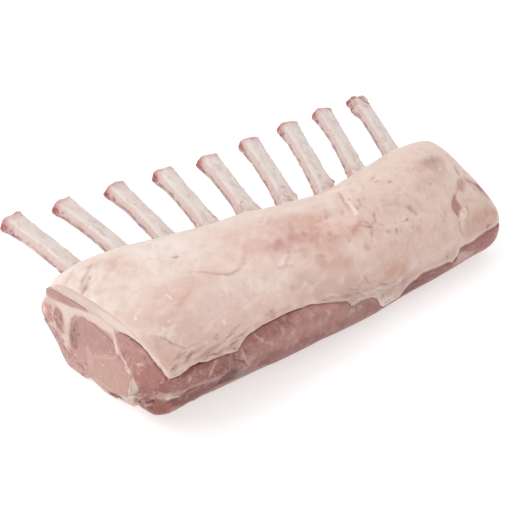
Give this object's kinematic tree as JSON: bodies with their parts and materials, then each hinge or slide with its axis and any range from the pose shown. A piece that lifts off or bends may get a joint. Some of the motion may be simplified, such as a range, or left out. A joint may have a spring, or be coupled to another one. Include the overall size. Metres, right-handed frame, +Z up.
{
  "type": "rack of lamb",
  "caption": "Raw trimmed rack of lamb lying rib side down: a loin under pale fat, lean bare at the cut ends and along the front, with frenched rib bones reaching out behind",
  "frame": {"origin": "centre of the bounding box's bottom face, on the surface that the rack lies on", "axes": "+X along the loin, from the slanted left cut to the right cut, +Y from the front wall towards the bone tips, +Z up from the rib side to the fat cover"},
  "size_m": [0.2354, 0.151, 0.052],
  "materials": {
    "fat": "cream to pale pink raw fat, satin and faintly moist",
    "loin_lean": "pale rose-brown raw lean of the loin eye, fine grain, satin",
    "side_lean": "darker red-brown raw lean with coarse grain, satin",
    "rib_lean": "pinkish raw lean streaked with fat, satin",
    "bone": "scraped pale bone, grey-ivory, satin"
  },
  "bodies": {
    "root": {"fat_cover": "fat", "loin_eye": "loin_lean", "side_muscle": "side_lean", "cap_muscle": "rib_lean", "rib_side_muscle": "rib_lean", "rib_meat": "rib_lean", "rib_bone_1": "bone", "rib_bone_2": "bone", "rib_bone_3": "bone", "rib_bone_4": "bone", "rib_bone_5": "bone", "rib_bone_6": "bone", "rib_bone_7": "bone", "rib_bone_8": "bone", "rib_bone_9": "bone"}
  },
  "joints": []
}
